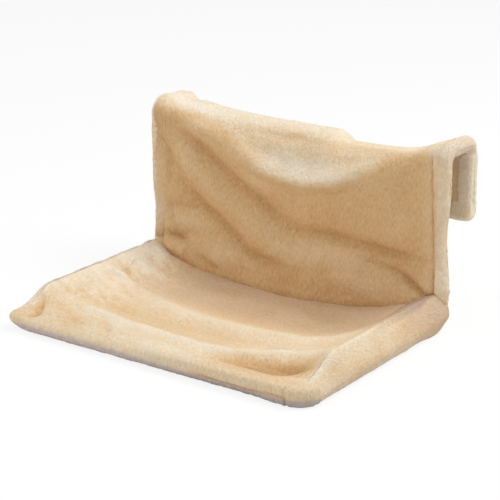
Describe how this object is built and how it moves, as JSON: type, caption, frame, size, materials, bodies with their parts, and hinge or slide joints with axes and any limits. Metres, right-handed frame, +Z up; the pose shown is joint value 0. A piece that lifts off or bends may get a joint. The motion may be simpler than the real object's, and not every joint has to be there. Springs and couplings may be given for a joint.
{
  "type": "radiator cat bed",
  "caption": "Plush cat bed hung over a radiator: sagging seat, tall back, arms and a rear hook panel on a plug-together bent tube frame.",
  "frame": {"origin": "centre of the footprint, on the surface that the bed stands on", "axes": "+X along the width to the user's right when facing the seat, +Y from the seat to the radiator, +Z up"},
  "size_m": [0.46, 0.3862, 0.2418],
  "materials": {
    "cream_plush": "short warm cream pile, matt",
    "tube_paint": "satin powder coat",
    "button_steel": "plated",
    "spring_steel": "plain spring steel"
  },
  "bodies": {
    "bed": {"side_tube_left": "tube_paint", "side_tube_right": "tube_paint", "front_bar": "tube_paint", "rear_bar": "tube_paint", "snap_spring_front_left": "spring_steel", "snap_spring_front_right": "spring_steel", "snap_spring_rear_left": "spring_steel", "snap_spring_rear_right": "spring_steel", "seat_panel": "cream_plush", "back_panel": "cream_plush", "top_panel": "cream_plush", "hook_panel": "cream_plush", "bed_side_left": "cream_plush", "bed_side_right": "cream_plush", "back_sleeve_left": "cream_plush", "back_sleeve_right": "cream_plush", "front_hem": "cream_plush", "rear_hem": "cream_plush"},
    "button_front_left": {"snap_button_front_left": "button_steel"},
    "button_front_right": {"snap_button_front_right": "button_steel"},
    "button_rear_left": {"snap_button_rear_left": "button_steel"},
    "button_rear_right": {"snap_button_rear_right": "button_steel"}
  },
  "joints": [
    {"name": "press_front_left", "type": "slide", "parent": "bed", "child": "button_front_left", "axis": [0, 0, 1], "range_m": [0, 0.0024], "stiffness_N_per_m": 800, "springref_m": -0.001, "deforming": ["snap_spring_front_left"]},
    {"name": "press_front_right", "type": "slide", "parent": "bed", "child": "button_front_right", "axis": [0, 0, 1], "range_m": [0, 0.0024], "stiffness_N_per_m": 800, "springref_m": -0.001, "deforming": ["snap_spring_front_right"]},
    {"name": "press_rear_left", "type": "slide", "parent": "bed", "child": "button_rear_left", "axis": [0, 0, 1], "range_m": [0, 0.0024], "stiffness_N_per_m": 800, "springref_m": -0.001, "deforming": ["snap_spring_rear_left"]},
    {"name": "press_rear_right", "type": "slide", "parent": "bed", "child": "button_rear_right", "axis": [0, 0, 1], "range_m": [0, 0.0024], "stiffness_N_per_m": 800, "springref_m": -0.001, "deforming": ["snap_spring_rear_right"]}
  ]
}
